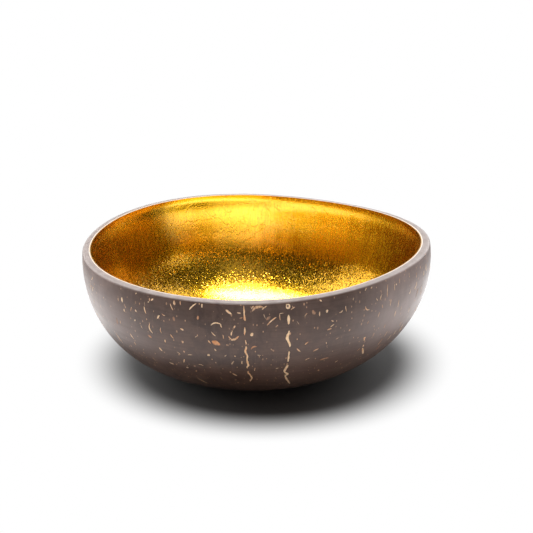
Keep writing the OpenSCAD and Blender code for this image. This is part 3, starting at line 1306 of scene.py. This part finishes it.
@dataclass
class FleckField(Inlay):
    """Short flecks of fibre scattered all over the skin."""

    sides: int = 3
    side_step: float = 0.03
    extra: int = 260
    bare: float = 62
    seed: int = 11
    placed: list[Fleck] = field(default_factory=list)

    def gather(self) -> None:
        """Lists the flecks that the solids hold on each side of the nut, then the smaller ones."""
        for side in range(self.sides):
            for fleck in FRONT_FLECKS:
                moved = replace(
                    fleck,
                    turn=fleck.turn + 360 / self.sides * side,
                    share=fleck.share - self.side_step * side,
                )
                self.placed.append(moved)
        self.placed.extend(SKIN_FLECKS)
        rng = random.Random(self.seed)
        for _ in range(self.extra):
            length = 0.6 + 2.6 * rng.random() ** 2
            self.placed.append(
                Fleck(
                    turn=rng.uniform(self.bare, 360 - self.bare),
                    share=0.12 + 0.85 * rng.random() ** 0.8,
                    length=length,
                    width=min(0.3 + 0.35 * rng.random(), 0.6 * length),
                    tilt=90 + rng.gauss(0, 50) + rng.choice((0, 180)),
                    tint=rng.uniform(0.1, 0.8),
                    bury=rng.uniform(0.05, 0.6),
                    stroke=rng.choice((Stroke.STRAIGHT, Stroke.STRAIGHT, Stroke.BENT, Stroke.HOOKED)),
                )
            )

    def fleck_path(self, fleck: Fleck, number: int) -> Path:
        """Gives the path of one fleck.

        Args:
            fleck: The fleck.
            number: Its number, which varies its edges.

        Returns:
            The fleck's path.
        """
        tilt = math.radians(fleck.tilt)
        bends = {Stroke.STRAIGHT: 0.05, Stroke.BENT: 0.22, Stroke.HOOKED: 0.38, Stroke.PATCH: 0.0}
        bend = bends[fleck.stroke]

        def path(share: float) -> tuple[float, float, float]:
            """Gives sway, height and width at a share of the length.

            Args:
                share: Share of the length, from 0 to 1.

            Returns:
                Sway, height and width.
            """
            along = (share - 0.5) * fleck.length
            aside = bend * fleck.length * (1 - (2 * share - 1) ** 2)
            if fleck.stroke is Stroke.HOOKED:
                aside = bend * fleck.length * max(0.0, share - 0.55) * 1.8
            end = max(1 - (2 * share - 1) ** 2, 0.04)
            rough = noise.noise(Vector((number * 1.7, share * 2.6, 0.0)))
            width = fleck.width * math.sqrt(end) * (1 + 0.35 * rough)
            sway = along * math.cos(tilt) - aside * math.sin(tilt)
            rise = along * math.sin(tilt) + aside * math.cos(tilt)
            return sway * MM, fleck.share * self.form.height + rise * MM, width * MM

        return path

    def build(self, material: bpy.types.Material) -> bpy.types.Object:
        """Builds all the flecks as one piece.

        Args:
            material: Finish of the fibre.

        Returns:
            The flecks' object.
        """
        self.gather()
        bm = self.start()
        for number, fleck in enumerate(self.placed):
            turn = math.radians(fleck.turn - 90)
            self.sliver(bm, turn, self.fleck_path(fleck, number), 6, fleck.tint, fleck.bury)
        return finished_piece(bm, "fibre_fleck_field", material, ["fibre_flecks"])


@dataclass(frozen=True)
class Glow:
    """A soft-edged bright field on the studio's walls, in degrees as seen from the bowl."""

    turn: float
    half_width: float
    low: float
    high: float
    soft: float
    radiance: float
    side_soft: float = 8

    def edge(self, bench: NodeBench, rise: Feed, angle: float, start: float,
             end: float) -> bpy.types.NodeSocket:
        """Draws a level soft edge at an angle above level.

        Args:
            bench: Bench of the world.
            rise: Sine of the direction's angle above level.
            angle: Angle of the edge, in degrees.
            start: Value below the edge.
            end: Value above the edge.

        Returns:
            The value in that direction.
        """
        low = math.sin(math.radians(angle - self.soft))
        high = math.sin(math.radians(angle + self.soft))
        return bench.band(rise, low, high, start, end)

    def placed(self, bench: NodeBench, level: Feed, rise: Feed) -> bpy.types.NodeSocket:
        """Adds the field to the world. Its turn runs from the front to the right.

        Args:
            bench: Bench of the world.
            level: Level part of the direction that is looked in, of length 1.
            rise: Sine of the direction's angle above level.

        Returns:
            The field's radiance in that direction.
        """
        bottom = self.edge(bench, rise, self.low, 0.0, self.radiance)
        top = self.edge(bench, rise, self.high, 1.0, 0.0)
        turn = math.radians(self.turn)
        facing = bench.add("ShaderNodeVectorMath", operation="DOT_PRODUCT")
        bench.feed(facing.inputs[0], level)
        facing.inputs[1].default_value = (math.sin(turn), -math.cos(turn), 0)
        outer = math.cos(math.radians(self.half_width + self.side_soft))
        inner = math.cos(math.radians(max(self.half_width - self.side_soft, 0)))
        sides = bench.band(facing.outputs["Value"], outer, inner)
        return bench.math("MULTIPLY", bench.math("MULTIPLY", bottom, top), sides)


@dataclass(frozen=True)
class Overhead:
    """A soft oval lamp near the zenith: its middle and half its size, as parts of a unit direction."""

    middle: tuple[float, float]
    half_size: tuple[float, float]
    soft: float
    radiance: float
    height_weight: float = 0.6

    def placed(self, bench: NodeBench, direction: Feed) -> bpy.types.NodeSocket:
        """Adds the lamp to the world.

        Args:
            bench: Bench of the world.
            direction: Direction that is looked in, of length 1.

        Returns:
            The lamp's radiance in that direction.
        """
        away = bench.vector("SUBTRACT", direction, (*self.middle, 1))
        scale = (1 / self.half_size[0], 1 / self.half_size[1], self.height_weight)
        reach = bench.length(bench.vector("MULTIPLY", away, scale))
        return bench.band(reach, 1 - self.soft, 1 + self.soft, self.radiance, 0.0)


LAMPS: tuple[Overhead, ...] = (
    Overhead(middle=(0, 0), half_size=(0.27, 0.34), soft=0.25, radiance=2.4),
    Overhead(middle=(-0.04, 0.10), half_size=(0.32, 0.135), soft=0.25, radiance=17.0),
)

WALLS: tuple[Glow, ...] = (
    Glow(turn=180, half_width=74, low=12, high=62, soft=7, radiance=0.6),
    Glow(turn=-100, half_width=18, low=6, high=60, soft=5, radiance=1.5),
    Glow(turn=-135, half_width=20, low=2, high=58, soft=8, radiance=1.6),
    Glow(turn=138, half_width=22, low=2, high=58, soft=8, radiance=2.0),
)

CARDS: tuple[Glow, ...] = (
    Glow(turn=-8, half_width=72, low=2.5, high=8, soft=3.5, radiance=4.5, side_soft=18),
    Glow(turn=2, half_width=18, low=5, high=13.5, soft=4, radiance=1.1),
    Glow(turn=-100, half_width=18, low=6, high=45, soft=5, radiance=1.1),
    Glow(turn=40, half_width=12, low=22, high=31, soft=3, radiance=0.3),
    Glow(turn=66, half_width=6, low=19.5, high=26, soft=2.5, radiance=3.0),
    Glow(turn=180, half_width=70, low=-4, high=12, soft=4, radiance=1.0),
    Glow(turn=0, half_width=18, low=36, high=62, soft=6, radiance=0.5),
)


@dataclass
class Studio:
    """Pale floor, soft light and the camera."""

    floor_radius: float = 0.7
    floor_grey: Colour = (0.26, 0.26, 0.26, 1)
    floor_glow: float = 2.6
    far_shine: float = 0.7
    shadow_centre: tuple[float, float, float] = (0.004, 0.006, 0)
    shadow_squeeze: tuple[float, float, float] = (1.14, 1, 0)
    white_to_camera: tuple[float, float] = (0.056, 0.086)
    white_to_shine: tuple[float, float] = (0.064, 0.090)
    white_to_rest: tuple[float, float] = (0.10, 0.16)
    shine_fade: tuple[float, float] = (0.11, 0.19)
    ambient: float = 0.03
    target: Vector = field(default_factory=lambda: Vector((0.0049, -0.0028, 0.0409)))
    camera_centre: Vector = field(default_factory=lambda: Vector((0, 0, 49.5 * MM)))
    camera_range: float = 0.8
    camera_rise: float = math.radians(17.96)
    lens: float = 140.2

    def floor_material(self) -> bpy.types.Material:
        """Mixes a floor that is grey in the bowl's shadow and white further out.

        Its white starts at a distance of its own for the camera, for reflections and for other light.

        Returns:
            The material of the floor.
        """
        material, bench = new_material("pale_floor")
        offset = bench.vector("SUBTRACT", bench.object_coords(), self.shadow_centre)
        distance = bench.length(offset)
        squeezed = bench.length(bench.vector("MULTIPLY", offset, self.shadow_squeeze))
        path = bench.add("ShaderNodeLightPath")
        camera = path.outputs["Is Camera Ray"]
        glossy = path.outputs["Is Glossy Ray"]
        seen = bench.math("MULTIPLY", bench.band(squeezed, *self.white_to_camera), camera)
        mirrored = bench.math("MULTIPLY", bench.band(distance, *self.white_to_shine), glossy)
        white = bench.math("MAXIMUM", bench.band(distance, *self.white_to_rest), mirrored)
        white = bench.math("MAXIMUM", white, seen)
        matte = bench.add("ShaderNodeBsdfDiffuse")
        matte.inputs["Color"].default_value = self.floor_grey
        glow = bench.add("ShaderNodeEmission")
        lit = bench.band(camera, 0.0, 1.0, self.floor_glow, 1.0)
        loss = bench.band(distance, *self.shine_fade, 0.0, self.far_shine - self.floor_glow)
        strength = bench.math("ADD", lit, bench.math("MULTIPLY", glossy, loss))
        bench.feed(glow.inputs["Strength"], strength)
        mix = bench.add("ShaderNodeMixShader")
        bench.feed(mix.inputs[0], white)
        bench.feed(mix.inputs[1], matte.outputs[0])
        bench.feed(mix.inputs[2], glow.outputs[0])
        bench.feed(bench.add("ShaderNodeOutputMaterial").inputs["Surface"], mix.outputs[0])
        return material

    def build_floor(self) -> None:
        """Lays a pale floor that fades into the background away from the bowl."""
        bm = bmesh.new()
        bmesh.ops.create_circle(bm, cap_ends=True, segments=96, radius=self.floor_radius)
        mesh = bpy.data.meshes.new("studio_floor")
        bm.to_mesh(mesh)
        bm.free()
        mesh.materials.append(self.floor_material())
        floor = bpy.data.objects.new("studio_floor", mesh)
        bpy.context.scene.collection.objects.link(floor)

    def build_world(self) -> None:
        """Surrounds the bowl with a softly lit room, white to the camera, and cards that the metal shows."""
        world = bpy.data.worlds.new("studio")
        world.use_nodes = True
        bpy.context.scene.world = world
        bench = NodeBench(world.node_tree)
        direction = bench.add("ShaderNodeTexCoord").outputs["Generated"]
        rise = bench.axes(direction)["Z"]
        level = bench.vector("NORMALIZE", bench.vector("MULTIPLY", direction, (1, 1, 0)))
        path = bench.add("ShaderNodeLightPath")
        light: Feed = self.ambient
        for lamp in LAMPS:
            light = bench.math("ADD", light, lamp.placed(bench, direction))
        for wall in WALLS:
            light = bench.math("ADD", light, wall.placed(bench, level, rise))
        for card in CARDS:
            white = card.placed(bench, level, rise)
            light = bench.math("ADD", light, bench.math("MULTIPLY", white, path.outputs["Is Glossy Ray"]))
        seen = bench.add("ShaderNodeMix", data_type="FLOAT")
        bench.feed(seen.inputs[0], path.outputs["Is Camera Ray"])
        bench.feed(seen.inputs[2], light)
        seen.inputs[3].default_value = 1.0
        background = bench.add("ShaderNodeBackground")
        background.inputs["Color"].default_value = (1, 1, 1, 1)
        bench.feed(background.inputs["Strength"], seen.outputs[0])
        bench.feed(bench.add("ShaderNodeOutputWorld").inputs["Surface"], background.outputs[0])

    def build_camera(self) -> None:
        """Sets the camera at the photograph's angle."""
        data = bpy.data.cameras.new("camera")
        data.sensor_width = 36
        data.lens = self.lens
        data.clip_start = 0.01
        camera = bpy.data.objects.new("camera", data)
        away = Vector((0, -math.cos(self.camera_rise), math.sin(self.camera_rise)))
        camera.location = self.camera_centre + self.camera_range * away
        camera.rotation_mode = "QUATERNION"
        camera.rotation_quaternion = (self.target - camera.location).to_track_quat("-Z", "Y")
        bpy.context.scene.collection.objects.link(camera)
        bpy.context.scene.camera = camera

    def build(self) -> None:
        """Builds the whole studio."""
        self.build_floor()
        self.build_world()
        self.build_camera()
        bpy.context.scene.view_settings.view_transform = "Standard"


LEFT_STRANDS: SeamRows = (
    ((1.0, -0.1, 0.7), (0.94, 0, 0.9), (0.885, 0.1, 1.1), (0.87, 0.2, 0.4)),
    ((0.82, 0, 0.5), (0.8, 0, 0.9), (0.77, -0.1, 0.9), (0.755, -0.1, 0.4)),
    ((0.715, 0, 0.4), (0.695, 0.2, 0.6), (0.675, 0.1, 0.4)),
    ((0.665, 0.2, 0.5), (0.645, 0.1, 1.1), (0.615, -0.2, 1.1), (0.575, 0.4, 1), (0.54, 0.2, 0.9),
     (0.5, 0.4, 1.3), (0.48, 0.5, 1.2), (0.465, 0, 0.7), (0.45, 0, 0.4)),
    ((0.42, 0.5, 0.5), (0.405, 0.2, 1), (0.35, 1.3, 0.9), (0.315, 0.7, 1), (0.3, 0.5, 0.4)),
)
RIGHT_STRANDS: SeamRows = (
    ((0.9, 0.1, 0.4), (0.885, 0.1, 1.1), (0.86, 0, 1.5), (0.84, 0.1, 1.3), (0.825, 0.1, 0.5)),
    ((0.775, 0.3, 0.5), (0.765, 0.2, 0.9), (0.72, -0.4, 1.4), (0.69, 0, 1.3), (0.65, 0.7, 1.1),
     (0.635, 0.6, 0.5)),
    ((0.595, 0.6, 0.5), (0.585, 0.5, 0.9), (0.51, 0.4, 0.8), (0.5, 0.4, 0.4)),
    ((0.465, 0.3, 0.6), (0.455, 0.3, 1.2), (0.4, -0.4, 1.1), (0.365, 1, 1), (0.345, 0.2, 1),
     (0.27, 2, 0.9), (0.235, 2.9, 0.7), (0.225, 2.9, 0.4)),
)
SIDE_STRANDS: SeamRows = (
    ((0.575, 0, 1.5), (0.565, 0, 1.4), (0.54, 0.2, 0.5)),
    ((0.5, 0.8, 0.4), (0.49, 0.9, 0.9), (0.48, 1, 0.4)),
    ((0.468, 1.2, 0.6), (0.455, 1.5, 1.1), (0.41, 3, 1.1), (0.395, 3.5, 0.6)),
)


def main() -> None:
    """Builds the bowl's pieces in order, then the studio."""
    logging.basicConfig(level=logging.INFO, format="%(name)s: %(message)s")
    form = NutForm()
    sanding = SandingMarks()
    fibre = StrandFinish().material(sanding)
    Shell(form).build(ShellFinish().material(sanding))
    Lining(form).build(GroundFinish().material(), LeafFinish().material())
    seams = (
        Seam(
            form, name="left_seam_strands", node="front_seam_left", turn=math.radians(-92.5),
            tint=0.5, slim=0.56, strands=LEFT_STRANDS,
        ),
        Seam(
            form, name="right_seam_strands", node="front_seam_right", turn=math.radians(-79.5),
            tint=0.15, strands=RIGHT_STRANDS, knot=(0.965, 1.9, 0.7),
        ),
        Seam(
            form, name="side_seam_strands", node="side_seam", turn=math.radians(-50),
            tint=0.4, strands=SIDE_STRANDS,
        ),
    )
    for seam in seams:
        seam.build(fibre)
    FleckField(form).build(fibre)
    Studio().build()


if __name__ == "__main__":
    main()
